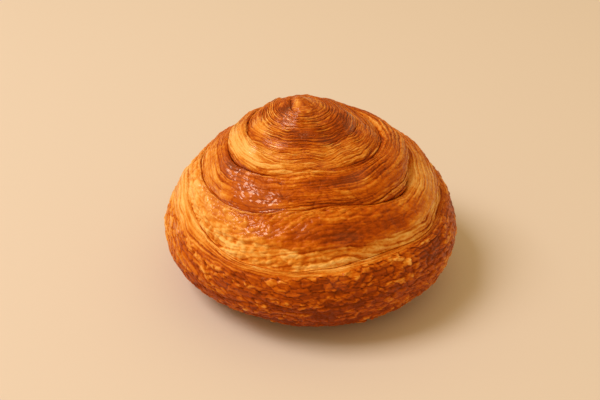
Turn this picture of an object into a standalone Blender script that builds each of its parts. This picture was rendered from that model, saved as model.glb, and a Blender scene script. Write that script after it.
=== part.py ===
"""A spiral croissant bun: one strip of laminated dough wound up into a cone.

The dough is a single closed solid. Its side is a loft along the winding: each cross-section
runs down the bun from one seam of the coil to the seam a turn later, so neighbouring turns
share their seam and the whole coil is one skin. The strip starts at the tip, grows wider on
its way down, and its tail tapers out under the back of the bun. Units are metres, with +Z up
and the origin at the middle of the flat foot. The front of the bun faces -Y.
"""

import math

import bmesh
import bpy
import numpy as np

# The bun's outline, as it would be turned without the coil's relief.
BUN_RADIUS = 0.0550
BUN_HEIGHT = 0.0718
WIDEST_HEIGHT = 0.0210
FOOT_RADIUS = 0.0300
SIDE_POWER = 1.63
TIP_POWER = 0.85
TIP_LEAN = -0.0050
LEAN_POWER = 3.0

# The seam between the coil's turns: (turns from the tip, distance down the side from the tip).
# A turn is clockwise seen from above, and the front is at a quarter of each turn.
FRONT_OF_TURN = 0.25
SEAM_PATH = (
    (0.00, 0.0000),
    (0.30, 0.0025),
    (0.50, 0.0040),
    (0.75, 0.0068),
    (1.00, 0.0104),
    (1.25, 0.0131),
    (1.50, 0.0152),
    (1.75, 0.0178),
    (2.00, 0.0206),
    (2.25, 0.0215),
    (2.37, 0.0246),
    (2.48, 0.0222),
    (2.75, 0.0262),
    (3.00, 0.0306),
    (3.14, 0.0307),
    (3.24, 0.0298),
    (3.38, 0.0342),
    (3.50, 0.0318),
    (3.75, 0.0370),
    (3.98, 0.0415),
    (4.07, 0.0470),
    (4.22, 0.0427),
    (4.36, 0.0477),
    (4.50, 0.0475),
    (4.75, 0.0530),
    (4.97, 0.0605),
    (5.04, 0.0637),
    (5.18, 0.0619),
    (5.30, 0.0649),
    (5.40, 0.0610),
    (5.48, 0.0562),
    (5.58, 0.0610),
    (5.75, 0.0800),
    (5.88, 0.1030),
)
LAST_TURN = 5.95

# How deep the seam lies under the outline, at so many turns from the tip.
SEAM_DEPTH = (
    (0.0, 0.0000),
    (0.5, 0.0007),
    (1.2, 0.0006),
    (2.2, 0.0012),
    (3.2, 0.0016),
    (3.9, 0.0026),
    (4.05, 0.0055),
    (4.18, 0.0022),
    (4.4, 0.0022),
    (4.9, 0.0036),
    (5.05, 0.0030),
    (5.25, 0.0024),
    (5.5, 0.0030),
    (5.8, 0.0026),
    (LAST_TURN, 0.0),
)
DEEPEST_SHARE_OF_WIDTH = 0.22

# The rolled upper rim and the sloping lower edge of each turn.
RIM_WIDTH = 0.0075
EDGE_WIDTH = 0.0120
RIM_SHARE = 0.40
EDGE_SHARE = 0.45
RIM_OVERHANG = 0.0009
RIM_ROLL = 0.0008

# Creases between the layers of dough: (share of the way across the strip, depth).
LAYER_CREASES = ((0.11, 0.0004), (0.32, 0.0008), (0.75, 0.0004))
CREASE_HALF_WIDTH = 0.035
FULL_CREASE_WIDTH = 0.0180

# How far the middle of the strip swells past the outline, at so many turns from the tip.
SWELL = (
    (0.0, 0.0000),
    (1.0, 0.0004),
    (1.9, -0.0003),
    (2.25, 0.0003),
    (2.5, 0.0009),
    (2.75, -0.0007),
    (3.0, 0.0020),
    (3.25, 0.0004),
    (3.5, 0.0000),
    (4.25, -0.0002),
    (4.5, -0.0006),
    (4.75, 0.0002),
    (5.0, -0.0015),
    (5.25, -0.0013),
    (5.5, -0.0003),
    (LAST_TURN, 0.0),
)

# Gentle lumps left by the baking: (waves round the bun, waves down the side, phase, height).
LUMPS = (
    (2, 1.0, 0.3, 0.00050),
    (3, 2.0, 1.9, 0.00040),
    (5, 1.5, 4.1, 0.00030),
    (9, 5.0, 2.6, 0.00022),
    (14, 4.0, 0.9, 0.00018),
)
LUMP_FREE_RADIUS = 0.0025
FLAT_BELOW = 0.0060

# The mesh: sections in a turn, and where the points of a section lie across the strip.
SECTIONS_PER_TURN = 60
ACROSS = (0.0, 0.03, 0.075, 0.11, 0.19, 0.28, 0.32, 0.36, 0.55, 0.75, 0.88, 1.0)
LEAST_WIDTH = 0.0002
TIP_RADIUS = 0.0010

CRUST_COLOR = (0.56, 0.20, 0.035, 1.0)
CRUST_ROUGHNESS = 0.42
CRUST_COAT = 0.3


def smooth(x):
    """0 below 0, 1 above 1, with a smooth step between."""
    x = np.clip(x, 0.0, 1.0)
    return x * x * (3.0 - 2.0 * x)


def through_points(points, at):
    """A smooth curve through (place, value) points, held level past both ends."""
    places, values = (np.array(column, float) for column in zip(*points))
    slopes = np.gradient(values, places)
    slopes[0] = slopes[-1] = 0.0
    at = np.clip(at, places[0], places[-1])
    left = np.clip(np.searchsorted(places, at, side="right") - 1, 0, len(places) - 2)
    span = places[left + 1] - places[left]
    x = (at - places[left]) / span
    start = values[left] * (1 + 2 * x) * (1 - x) ** 2 + slopes[left] * span * x * (1 - x) ** 2
    end = values[left + 1] * x * x * (3 - 2 * x) - slopes[left + 1] * span * x * x * (1 - x)
    return start + end


def outline():
    """The outline's radius and height, and the distance down it from the tip, as tables."""
    steps = 3000
    down = np.linspace(0.0, 0.5 * math.pi, steps)
    rise = np.cos(down)
    upper_radius = BUN_RADIUS * (1.0 - rise**SIDE_POWER) ** TIP_POWER
    upper_height = WIDEST_HEIGHT + (BUN_HEIGHT - WIDEST_HEIGHT) * rise
    lower_radius = FOOT_RADIUS + (BUN_RADIUS - FOOT_RADIUS) * np.cos(down)
    lower_height = WIDEST_HEIGHT * (1.0 - np.sin(down))
    radius = np.concatenate([upper_radius, lower_radius[1:]])
    height = np.concatenate([upper_height, lower_height[1:]])
    reach = np.concatenate([[0.0], np.cumsum(np.hypot(np.diff(radius), np.diff(height)))])
    return radius, height, reach


OUTLINE_RADIUS, OUTLINE_HEIGHT, OUTLINE_REACH = outline()
SIDE_LENGTH = OUTLINE_REACH[-1]


def seam_reach(turns):
    """How far down the side the seam lies, so many turns from the tip."""
    return through_points(SEAM_PATH + ((LAST_TURN, SIDE_LENGTH),), turns)


def seam_depth(turns):
    """How deep the seam lies, and never deep beside the width of the strip there."""
    narrowest = np.minimum(
        seam_reach(turns + 1.0) - seam_reach(turns),
        seam_reach(turns) - seam_reach(turns - 1.0),
    )
    return np.minimum(through_points(SEAM_DEPTH, turns), DEEPEST_SHARE_OF_WIDTH * narrowest)


def lumps(angle, reach, radius):
    """The height of the baked lumps, which fade out towards the tip."""
    total = np.zeros_like(reach)
    for around, down, phase, size in LUMPS:
        wave = 2.0 * math.pi * down * reach / SIDE_LENGTH
        fade = smooth(radius / (LUMP_FREE_RADIUS * around))
        total += size * fade * np.sin(around * angle + phase) * np.cos(wave + phase * around)
    return total


def creases(across, width):
    """How far the creases between layers sink in."""
    total = np.zeros_like(across)
    for place, depth in LAYER_CREASES:
        total += depth * smooth(1.0 - np.abs(across - place) / CREASE_HALF_WIDTH)
    return total * smooth(width / FULL_CREASE_WIDTH)


def strip_points(turns, across):
    """Points of the skin, at so many turns from the tip and a share of the way across."""
    top = seam_reach(turns)
    width = np.maximum(seam_reach(turns + 1.0) - top, LEAST_WIDTH)
    in_rim = np.clip(1.0 - across * width / np.minimum(RIM_WIDTH, RIM_SHARE * width), 0.0, 1.0)
    edge_width = np.minimum(EDGE_WIDTH, EDGE_SHARE * width)
    in_edge = np.clip(1.0 - (1.0 - across) * width / edge_width, 0.0, 1.0)
    upper_depth = seam_depth(turns)
    lower_depth = seam_depth(turns + 1.0)
    upper_open = smooth(upper_depth / RIM_OVERHANG)
    lower_open = smooth(lower_depth / RIM_OVERHANG)

    rise = through_points(SWELL, turns) * np.sqrt(4.0 * across * (1.0 - across))
    rise -= upper_depth * (1.0 - np.sqrt(1.0 - in_rim**2))
    rise -= lower_depth * (1.0 - np.sqrt(1.0 - in_edge**2))
    rise -= creases(across, width)
    reach = top + across * width
    reach += RIM_OVERHANG * (upper_open * in_rim**2 + lower_open * in_edge**4)
    reach -= RIM_ROLL * upper_open * np.sin(math.pi * in_rim)
    reach = np.clip(reach, 0.0, SIDE_LENGTH)

    radius = np.interp(reach, OUTLINE_REACH, OUTLINE_RADIUS)
    height = np.interp(reach, OUTLINE_REACH, OUTLINE_HEIGHT)
    outward = -np.interp(reach, OUTLINE_REACH, np.gradient(OUTLINE_HEIGHT, OUTLINE_REACH))
    upward = np.interp(reach, OUTLINE_REACH, np.gradient(OUTLINE_RADIUS, OUTLINE_REACH))
    angle = -2.0 * math.pi * (turns - FRONT_OF_TURN)
    rise = smooth(height / FLAT_BELOW) * (rise + lumps(angle, reach, radius))
    out = radius + rise * outward
    x = out * np.sin(angle) + TIP_LEAN * (height / BUN_HEIGHT) ** LEAN_POWER
    y = -out * np.cos(angle)
    z = np.maximum(height + rise * upward, 0.0)
    return np.stack([x, y, z], axis=-1)


def coil_mesh():
    """The whole bun: a small fan at the tip, the lofted coil, and the flat foot."""
    last = round(LAST_TURN * SECTIONS_PER_TURN)
    strips = len(ACROSS) - 1
    turns, across = np.meshgrid(np.arange(last + 1) / SECTIONS_PER_TURN, ACROSS, indexing="ij")
    points = strip_points(turns, across)
    on_tip = seam_reach(turns[:, 0]) < TIP_RADIUS
    mesh = bmesh.new()
    made = {}

    def corner(section, row):
        """The vertex of a section, shared with the section that lies a turn further down."""
        if row == strips and section + SECTIONS_PER_TURN <= last:
            section, row = section + SECTIONS_PER_TURN, 0
        if section == last:
            row = 0
        if row == 0 and on_tip[section]:
            section = 0
        if (section, row) not in made:
            made[section, row] = mesh.verts.new(points[section, row])
        return made[section, row]

    def add_face(corners):
        different = list(dict.fromkeys(corners))
        if len(different) > 2:
            mesh.faces.new(different)

    tip = corner(0, 0)
    for section in range(SECTIONS_PER_TURN - 1):
        add_face([tip, corner(section + 1, 0), corner(section, 0)])
    first_section = [corner(0, row) for row in range(strips + 1)]
    add_face(first_section + [corner(SECTIONS_PER_TURN - 1, 0)])
    for section in range(last):
        for row in range(strips):
            here = [corner(section, row), corner(section, row + 1)]
            following = [corner(section + 1, row + 1), corner(section + 1, row)]
            add_face(here + following)
    bmesh.ops.holes_fill(mesh, edges=mesh.edges)
    bmesh.ops.recalc_face_normals(mesh, faces=mesh.faces)
    bmesh.ops.triangulate(mesh, faces=mesh.faces)
    return mesh


def crust_material():
    """Baked crust, as one plain colour."""
    material = bpy.data.materials.new("baked_crust")
    material.use_nodes = True
    shader = material.node_tree.nodes["Principled BSDF"]
    shader.inputs["Base Color"].default_value = CRUST_COLOR
    shader.inputs["Roughness"].default_value = CRUST_ROUGHNESS
    shader.inputs["Coat Weight"].default_value = CRUST_COAT
    material.diffuse_color = CRUST_COLOR
    return material


def build():
    for old in list(bpy.data.objects):
        bpy.data.objects.remove(old, do_unlink=True)
    collection = bpy.data.collections.new("spiral_croissant_bun")
    bpy.context.scene.collection.children.link(collection)

    coil = coil_mesh()
    data = bpy.data.meshes.new("spiral_croissant")
    coil.to_mesh(data)
    coil.free()
    data.materials.append(crust_material())
    data.shade_smooth()
    collection.objects.link(bpy.data.objects.new("spiral_croissant", data))


build()
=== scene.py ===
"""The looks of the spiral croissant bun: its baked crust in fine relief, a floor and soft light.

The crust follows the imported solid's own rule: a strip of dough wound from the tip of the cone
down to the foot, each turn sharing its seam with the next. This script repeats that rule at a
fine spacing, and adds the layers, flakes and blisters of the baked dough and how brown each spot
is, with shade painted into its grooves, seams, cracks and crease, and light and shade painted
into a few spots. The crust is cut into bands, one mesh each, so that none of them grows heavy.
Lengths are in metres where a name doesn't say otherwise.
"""

import itertools
import math
from collections import namedtuple

import bpy
import numpy as np
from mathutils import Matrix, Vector


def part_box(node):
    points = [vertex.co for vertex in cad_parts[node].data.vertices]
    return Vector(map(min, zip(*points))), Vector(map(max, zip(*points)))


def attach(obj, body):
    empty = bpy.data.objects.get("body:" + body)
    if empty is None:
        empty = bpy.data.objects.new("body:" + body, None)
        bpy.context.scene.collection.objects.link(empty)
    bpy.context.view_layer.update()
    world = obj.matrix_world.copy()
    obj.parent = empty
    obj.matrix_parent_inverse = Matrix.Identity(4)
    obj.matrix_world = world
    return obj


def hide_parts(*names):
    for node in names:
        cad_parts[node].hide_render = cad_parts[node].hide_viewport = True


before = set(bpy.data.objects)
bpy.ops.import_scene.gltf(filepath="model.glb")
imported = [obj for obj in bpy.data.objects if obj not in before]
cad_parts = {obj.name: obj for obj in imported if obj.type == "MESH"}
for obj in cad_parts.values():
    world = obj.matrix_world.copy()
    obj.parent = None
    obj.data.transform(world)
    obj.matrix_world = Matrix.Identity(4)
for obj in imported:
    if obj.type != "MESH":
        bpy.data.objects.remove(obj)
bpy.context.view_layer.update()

MM = 0.001
NODE = "spiral_croissant"

# Noise over the strip of dough or through space, from minus its size to its size.
Bumps = namedtuple("Bumps", "seed length_mm height_mm size")
# Overlapping layers of dough: the height of one, half the width of the groove between two, how
# far one keeps its strength for each key along it, and how far the set is shifted. The groove and
# the shift are in layers.
Layers = namedtuple("Layers", "seed pitch groove stretches_mm start", defaults=(0.0,))
# Round domes in a share of the cells of a loose grid over the strip.
Domes = namedtuple("Domes", "seed length_mm height_mm share")
# Broken plates, one in each cell of such a grid. A plate whose random number is past a value
# stands loose, and fully so a blend past it. Its edge is so many cells wide.
Plates = namedtuple("Plates", "seed length_mm height_mm past blend edge")

# --- the coil's values

# The bun's outline, as it would be turned without the coil's relief.
BUN_RADIUS = 0.055
BUN_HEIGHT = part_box(NODE)[1].z
WIDEST_HEIGHT = 0.021
FOOT_RADIUS = 0.03
SIDE_POWER = 1.63
TIP_POWER = 0.85
TIP_LEAN = -0.005
LEAN_POWER = 3.0

# The seam between the coil's turns: (turns from the tip, distance down the side from the tip).
# The front of the bun is a quarter turn on from each whole turn.
FRONT_OF_TURN = 0.25
SEAM_PATH = (
    (0.0, 0.0), (0.12, 0.006), (0.22, 0.0082), (0.28, 0.0071), (0.34, 0.0057), (0.42, 0.004),
    (0.5, 0.0034), (0.6, 0.0037), (0.75, 0.0058), (1.0, 0.0104), (1.25, 0.0131), (1.5, 0.0152),
    (1.75, 0.0178), (2.0, 0.0206), (2.25, 0.0215), (2.37, 0.0246), (2.48, 0.0222), (2.75, 0.0262),
    (3.0, 0.0306), (3.14, 0.0307), (3.24, 0.0298), (3.38, 0.0342), (3.5, 0.0318), (3.75, 0.037),
    (3.98, 0.0415), (4.07, 0.047), (4.22, 0.0427), (4.36, 0.0477), (4.5, 0.0475), (4.75, 0.053),
    (4.97, 0.0605), (5.04, 0.0637), (5.18, 0.0619), (5.3, 0.0649), (5.4, 0.061), (5.48, 0.0562),
    (5.58, 0.061), (5.75, 0.08), (5.88, 0.103),
)
LAST_TURN = 5.95

# How deep the seam lies under the outline, at so many turns from the tip.
SEAM_DEPTH = (
    (0.0, 0.0), (0.24, 0.0), (0.34, 0.001), (0.45, 0.0013), (0.6, 0.0006), (0.8, 0.0003),
    (1.2, 0.0002), (1.5, 0.0006), (1.9, 0.0008), (2.08, 0.0008), (2.18, 0.0), (2.36, 0.0),
    (2.46, 0.0008), (2.7, 0.0013), (3.05, 0.0016), (3.14, 0.0005), (3.3, 0.0005), (3.45, 0.0018),
    (3.9, 0.0026), (4.05, 0.0055), (4.18, 0.0009), (4.3, 0.0008), (4.42, 0.0022), (4.9, 0.0036),
    (5.05, 0.003), (5.25, 0.0024), (5.5, 0.003), (5.8, 0.0026), (LAST_TURN, 0.0),
)
DEEPEST_SHARE_OF_WIDTH = 0.22

# The seam wanders and its depth varies. Each wobble's number of bumps is its seed too.
SEAM_WOBBLE = ((14, 0.00045), (45, 0.00022))  # (bumps in a turn, how far)
WOBBLE_GROWS = (0.6, 1.5)  # (from a turn, over so many turns), like each such pair below
WOBBLE_ENDS_OVER = 0.2
DEPTH_SEED = 5
DEPTH_BUMPS = 24
DEPTH_VARIES = 0.45

# The rolled upper rim and the sloping lower edge of each turn.
RIM_WIDTH = 0.0075
EDGE_WIDTH = 0.012
RIM_SHARE = 0.4
EDGE_SHARE = 0.45
RIM_OVERHANG = 0.0009
RIM_ROLL = 0.0008

# How far the middle of the strip swells past the outline, at so many turns from the tip.
SWELL = (
    (0.0, 0.0), (1.0, 0.0004), (1.9, -0.0003), (2.25, 0.0003), (2.5, 0.0009), (2.75, -0.0007),
    (3.0, 0.002), (3.25, 0.0004), (3.5, 0.0), (4.25, -0.0002), (4.5, -0.0006), (4.75, 0.0002),
    (5.0, -0.0015), (5.25, -0.0013), (5.5, -0.0003), (LAST_TURN, 0.0),
)

# Gentle lumps left by the baking: (waves round the bun, waves down the side, phase, height).
LUMPS = (
    (2, 1.0, 0.3, 0.0005), (3, 2.0, 1.9, 0.0004), (5, 1.5, 4.1, 0.0003), (9, 5.0, 2.6, 0.00022),
    (14, 4.0, 0.9, 0.00018),
)
LUMP_FREE_RADIUS = 0.0025

# All relief flattens towards the foot. The ends of the strip are this narrow.
FLAT_BELOW = 0.006
LEAST_WIDTH = 0.0001
TIP_RADIUS = 0.0008
OUTLINE_STEPS = 3000
LENGTH_STEPS = 2000

# The fine mesh: sections in a turn, the spacing of points across the strip, and the bands that
# the coil is cut into, each from and up to so many turns from the tip.
SECTIONS_PER_TURN = 720
ROW_SPACING_MM = ((-1.0, 0.17), (4.6, 0.17), (4.9, 0.26), (5.3, 0.3))
ROW_STEP = 4
CROWDING_AT_SEAMS = 0.3
BANDS = (
    ("crust_tip", -1.0, 1.5), ("crust_shoulder", 1.5, 3.25), ("crust_middle", 3.25, 4.5),
    ("crust_base", 4.5, 5.25), ("crust_hem", 5.25, LAST_TURN),
)
FOOT_RINGS = 24

# --- the crust's regions

# Where the layers round the tip end, how much further down they reach near the front, and where
# the gentler relief of the tip itself ends.
SWIRL_ENDS_MM = (14.0, 6.0)
FRONT_MORE_MM = (9.0, 5.0)
FRONT_MIDDLE_DEGREES = 20.0
FRONT_ENDS_DEGREES = (50.0, 30.0)
TIP_ENDS_MM = (3.5, 7.0)

# The pale lower band of the third turn: its width at so many turns, and how far it lies back.
PALE_BAND_MM = (
    (3.94, 0.0), (4.04, 5.0), (4.18, 4.6), (4.25, 6.4), (4.3, 7.2), (4.4, 3.8), (4.46, 2.2),
    (4.56, 0.0),
)
PALE_BAND_DEPTH_MM = 0.9
# The smooth lip of the lowest turn, above its flaky crust.
LIP_MM = (
    (4.7, 1.0), (4.95, 2.5), (5.1, 2.2), (5.25, 3.6), (5.4, 7.0), (5.5, 11.0), (5.7, 4.0),
    (LAST_TURN, 0.0),
)
LIP_STEP_MM = 0.35
BASE_STARTS = (4.6, 0.3)

# The ragged border of the band and of the lip.
RAGGED_MM = Bumps(61, 4.0, 3.0, 0.6)
LIP_RAGGED_TIMES = 3.0
BORDER_MM = 0.6

# Spots are given as (degrees right of the front, millimetres down the side, half widths in
# degrees and millimetres, amount). Noise makes them ragged.
SPOT_POWER = 4
SPOT_RAGGED_DEGREES = Bumps(51, 11.0, 4.0, 12.0)
SPOT_RAGGED_MM = Bumps(53, 8.0, 3.0, 2.0)

# Spots smoothed over by thick egg wash, and the soft domes on them.
WET_SPOTS = (
    (-31, 42.5, 17, 3.0, 1.0), (-50, 37.0, 18, 3.2, 0.9), (-20, 3.0, 80, 4.0, 0.9),
)
WET_RELIEF_MM = 0.55
WET_DOMES = Domes(52, 3.3, 2.3, 0.75)
WET_CALMS = 0.85

# Dents, with their depth in millimetres.
DENTS_MM = (
    (-110, 7.0, 55, 4.5, 0.9), (-150, 15.5, 17, 5.0, 1.5), (152, 15.0, 14, 5.0, 0.7),
    (72, 44.5, 14, 3.0, 1.2),
)

# --- the crust's relief

# The strip's relief fades out this near a seam. Lists give a value at so many turns from the tip.
SEAM_CLEAR_MM = 0.5

# Overlapping layers: how strong they are, how sharp their grooves, where the crest lies in half
# widths of the groove and how pale it is, and how noise tells layers and their tones apart.
LEAST_STRENGTH = 0.25
STRENGTH_MEAN = 0.5
STRENGTH_VARIES = 1.2
GROOVE_POWER = 1.5
CREST_PLACE = 1.6
CREST_PALENESS = 0.6
LAYER_STEP = 7.31
TONE_STEP = 5.17
TONE_STRETCH = 1.7

# Layers that run round the tip, and how they wander: off the tip, and everywhere.
WIDE_RINGS = Layers(11, pitch=1.15, groove=0.25, stretches_mm=(7.0, 7.0))
FINE_RINGS = Layers(14, pitch=0.7, groove=0.34, stretches_mm=(5.0, 5.0), start=0.4)
FINE_RINGS_SHARES = (0.6, 1.0, 0.6)  # of their relief, lines and tone
RING_KEY_RADIUS_MM = 22.0
RING_RELIEF_MM = 0.38
RING_SHARE_AT_TIP = 0.25
RING_WANDERS_MM = (Bumps(10, 8.0, 8.0, 1.0), Bumps(18, 3.0, 3.0, 0.35))
RING_TREMBLE_MM = Bumps(19, 1.3, 1.3, 0.1)
RING_MEAN = 0.8
RING_PATCHES = Bumps(12, 6.0, 5.0, 0.8)
RING_BOUNDS = (0.5, 1.3)

# Layers that follow the coil, whose pitches are shares of this one, and how they wander.
LAYER_PITCH_MM = ((0.0, 1.7), (2.0, 1.8), (3.0, 2.0), (4.4, 2.3), (LAST_TURN, 2.6))
LAYER_RELIEF_MM = (
    (-1.0, 0.3), (2.3, 0.36), (2.6, 0.34), (2.9, 0.34), (3.3, 0.24), (4.0, 0.3), (4.15, 0.14),
    (4.45, 0.12), (4.6, 0.2), (5.0, 0.2), (LAST_TURN, 0.3),
)
WIDE_LAYERS = Layers(91, pitch=1.0, groove=0.18, stretches_mm=(12.0,))
FINE_LAYERS = Layers(94, pitch=0.45, groove=0.28, stretches_mm=(8.0,), start=0.4)
FINE_LAYERS_SHARES = (0.45, 0.6, 0.6)
LAYER_WANDERS_MM = (
    Bumps(13, 28.0, 7.0, 1.2), Bumps(14, 9.0, 3.0, 0.5), Bumps(15, 3.4, 1.5, 0.2),
    Bumps(16, 1.5, 0.8, 0.1),
)
LAYER_MEAN = 0.8
LAYER_PATCHES = Bumps(17, 15.0, 5.0, 0.6)
LAYER_BOUNDS = (0.3, 1.3)
# Deeper layers in the pale band and the lip, and near the strip's upper and lower edge.
BAND_LAYER_MM = 0.1
LIP_LAYER_MM = 0.1
EDGE_LAYER_MM = 0.15
UPPER_EDGE_MM = 3.5
LOWER_EDGE_MM = 3.0
EDGE_BLEND_MM = 2.5

# How the grid of plates, chips and blisters is bent, along the strip and down it.
BENDS_ALONG_MM = (Bumps(21, 2.2, 1.8, 0.8), Bumps(25, 1.0, 1.0, 0.25))
BENDS_DOWN_MM = (Bumps(22, 2.0, 1.6, 0.6), Bumps(26, 1.0, 1.0, 0.2))

# Plates of crust, and the parts of their relief.
PLATES = Plates(23, 3.9, 2.2, past=0.7, blend=0.08, edge=0.16)
PLATE_SLANT = 0.7
PLATE_TILT = 0.9
LOOSE_LIFT = 0.5
PLATE_EDGE_DEPTH = 0.6
FLAKE_RELIEF_MM = (
    (-1.0, 0.02), (2.2, 0.05), (2.8, 0.08), (3.3, 0.2), (3.7, 0.16), (4.2, 0.1), (4.45, 0.1),
    (4.8, 0.34), (LAST_TURN, 0.4),
)
# The lip is smoother all over, and the pale band has flatter plates.
LIP_CALMS = 0.85
BAND_CALMS = 0.4

# Chips and small domes that stand up on the lowest turn.
CHIPS = Plates(81, 2.3, 1.5, past=0.55, blend=0.06, edge=0.3)
CHIP_SLANT = -0.6
CHIP_HEIGHT = 0.6
CHIP_VARIES = 0.4
CHIP_TILT = 0.7
CHIP_SHARE = 0.8
SMALL_DOMES = Domes(85, 1.6, 1.3, 0.5)
SMALL_DOME_SHARE = 0.4
FLECK_MEAN = 0.6
FLECK_PATCHES = Bumps(29, 7.0, 4.0, 1.1)
FLECK_RELIEF_MM = (
    (4.6, 0.0), (4.9, 0.3), (5.2, 0.4), (5.38, 0.4), (5.46, 0.14), (5.6, 0.2), (5.75, 0.34),
    (LAST_TURN, 0.34),
)

# Blisters of two sizes, with their shares of the height. The pale band has higher ones.
BLISTERS = ((Domes(31, 3.6, 2.7, 0.5), 0.6), (Domes(37, 1.6, 1.25, 0.7), 1.0))
BLISTER_LEVEL = 0.3
BAND_BLISTERS = 0.6
BLISTER_RELIEF_MM = (
    (-1.0, 0.04), (2.6, 0.05), (3.3, 0.16), (4.1, 0.22), (4.28, 0.4), (4.42, 0.62), (4.55, 0.5),
    (4.8, 0.3), (LAST_TURN, 0.2),
)

# Wrinkles that slant over the third turn.
WRINKLES = Layers(46, pitch=2.2, groove=0.25, stretches_mm=(12.0, 6.0))
WRINKLE_SLANT = 0.34
WRINKLE_WANDERS_MM = Bumps(45, 9.0, 6.0, 1.2)
WRINKLE_MM = 0.2
WRINKLED_TURNS = (4.05, 4.45, 0.1)  # (from, to, fading over)

# The flaky crease low on the last turn: how far down the side it runs, and where it is broken.
LOW_CREASE_MM = ((5.13, 76.0), (5.25, 79.0), (5.38, 82.5), (5.5, 84.0))
LOW_CREASE_DEPTH_MM = 0.8
CREASE_HALF_WIDTH_MM = 0.9
CREASE_TURNS = (5.2, 5.46, 0.08)
CREASE_RAGGED_MM = Bumps(48, 6.0, 50.0, 1.6)
CREASE_MEAN = 0.7
CREASE_GAPS = Bumps(49, 7.0, 50.0, 1.2)

# Fine unevenness that both sides of a seam share.
UNEVEN_MM = Bumps(43, 4.0, 3.0, 0.22)
GRAIN_MM = Bumps(41, 0.9, 0.8, 0.05)

# --- the crust's looks

# What the mesh stores at each point for the material. The brown look holds painted shade and
# painted light as well as the browning.
LOOKS = ("brown", "gloss", "strands")

# How brown each turn bakes, from 0, pale dough, to 1, dark brown.
TURN_BROWN = (
    (-1.0, 0.46), (0.6, 0.52), (1.3, 0.6), (2.0, 0.56), (2.4, 0.46), (3.0, 0.5), (3.3, 0.58),
    (4.0, 0.6), (4.4, 0.53), (4.9, 0.57), (5.2, 0.62), (LAST_TURN, 0.58),
)
# How brown the layers round the tip are, so many millimetres down the side.
SWIRL_BROWN = (
    (0.0, 0.6), (5.0, 0.63), (9.0, 0.64), (14.0, 0.67), (20.0, 0.62), (24.0, 0.54), (28.0, 0.5),
    (36.0, 0.5),
)
# Spots that baked browner or paler, and spots of painted light and shade. The pale spots on the
# left, from -62 to -90 degrees, are partly paler dough and partly painted light from the left,
# and the one at (-62, 16) is a painted highlight. The pale tongue at (-30, 3.6) is a painted
# highlight too, the pale spot at (76, 50) is partly pale strands and partly painted light on the
# shaded right side, and the brown spot at (0, 92) is painted shade low on the front by the floor.
BROWN_AND_PAINTED_LIGHT_SPOTS = (
    (-47, 37.5, 24, 3.8, 0.15), (-30, 43.0, 18, 3.5, 0.1), (0, 38.0, 24, 5.0, 0.13),
    (-10, 53.0, 26, 5.0, 0.11), (28, 35.5, 28, 2.6, 0.28), (48, 42.5, 26, 3.0, 0.16),
    (68, 38.0, 20, 7.0, 0.06), (0, 18.5, 42, 3.5, 0.22), (62, 17.0, 26, 4.0, 0.22),
    (-40, 10.0, 30, 4.0, 0.06), (-85, 6.0, 40, 2.2, 0.16), (-30, 3.6, 40, 2.2, -0.16),
    (0, 30.0, 38, 1.5, -0.05), (-20, 31.5, 26, 2.0, -0.18), (10, 76.0, 24, 6.0, 0.07),
    (25, 53.0, 34, 4.5, 0.25), (26, 74.0, 45, 9.0, 0.13), (-62, 16.0, 30, 6.0, -0.24),
    (0, 92.0, 70, 9.0, 0.18), (-62, 7.5, 30, 3.2, 0.3), (-65, 29.0, 32, 4.2, -0.3),
    (10, 64.5, 36, 3.5, -0.18), (-14, 57.5, 16, 2.0, -0.1), (-50, 51.0, 26, 5.0, -0.1),
    (76, 50.0, 22, 9.0, -0.32), (-62, 60.0, 36, 4.6, -0.2), (-90, 66.0, 26, 20.0, -0.26),
    (-78, 41.0, 20, 5.0, -0.2), (150, 30.0, 40, 6.0, 0.18), (-150, 52.0, 40, 6.0, 0.18),
    (180, 62.0, 40, 5.0, -0.18), (140, 75.0, 40, 9.0, 0.12),
)

# How much browner each feature makes the crust, or paler where the name says so. The dark grooves
# of the lines, the sunken plate edges and the crease are painted shade; the pale crests of the
# lines are the cut edges of the dough.
PATCH_BROWN = Bumps(55, 15.0, 4.0, 0.12)
GRAIN_BROWN = Bumps(57, 1.6, 1.4, 0.06)
LINE_SHADE_AND_EDGE_PER_MM = 1.2
TONE_BROWN_PER_MM = 0.3
RING_SHADE_AND_EDGE_AT_TIP = 0.14
RING_SHADE_AND_EDGE_OFF_TIP = 0.34
RING_TONE_BROWN = 0.17
PLATE_BROWN_PER_MM = 0.3
PLATE_EDGE_PAINTED_SHADE_PER_MM = 0.65
LOOSE_PALE_PER_MM = 0.35
FLECKED_BROWN = 0.24
FLECK_PALE = 0.9
BLISTER_PALE = 0.45
BLISTER_PALE_PAST = 0.35
BAND_PALE = 0.1
LIP_PALE = 0.1
BAND_PATCH_BROWN = Bumps(67, 6.0, 2.2, 0.22)
WRINKLE_SHADE_AND_EDGE = 0.11
# The crease is darkened with painted shade.
CREASE_PAINTED_SHADE = 0.3

# Painted shade in an open seam: how much darker it makes the dough and how it breaks off along it.
SEAM_PAINTED_SHADE = 0.15
SEAM_GAPS = Bumps(69, 5.0, 50.0, 1.2)
SEAM_BOUNDS = (0.0, 1.6)

# How much the fine lines of the layers show: less from the third turn down and among flecks.
STRANDS_PER_MM = 3.0
STRANDS_LOST_PER_MM = 1.3
STRANDS_LOST_TURNS = (3.1, 0.3)
STRANDS_HIDDEN = 0.15
FLECKS_HIDE = 2.0
LEAST_STRANDS = 0.1

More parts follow.
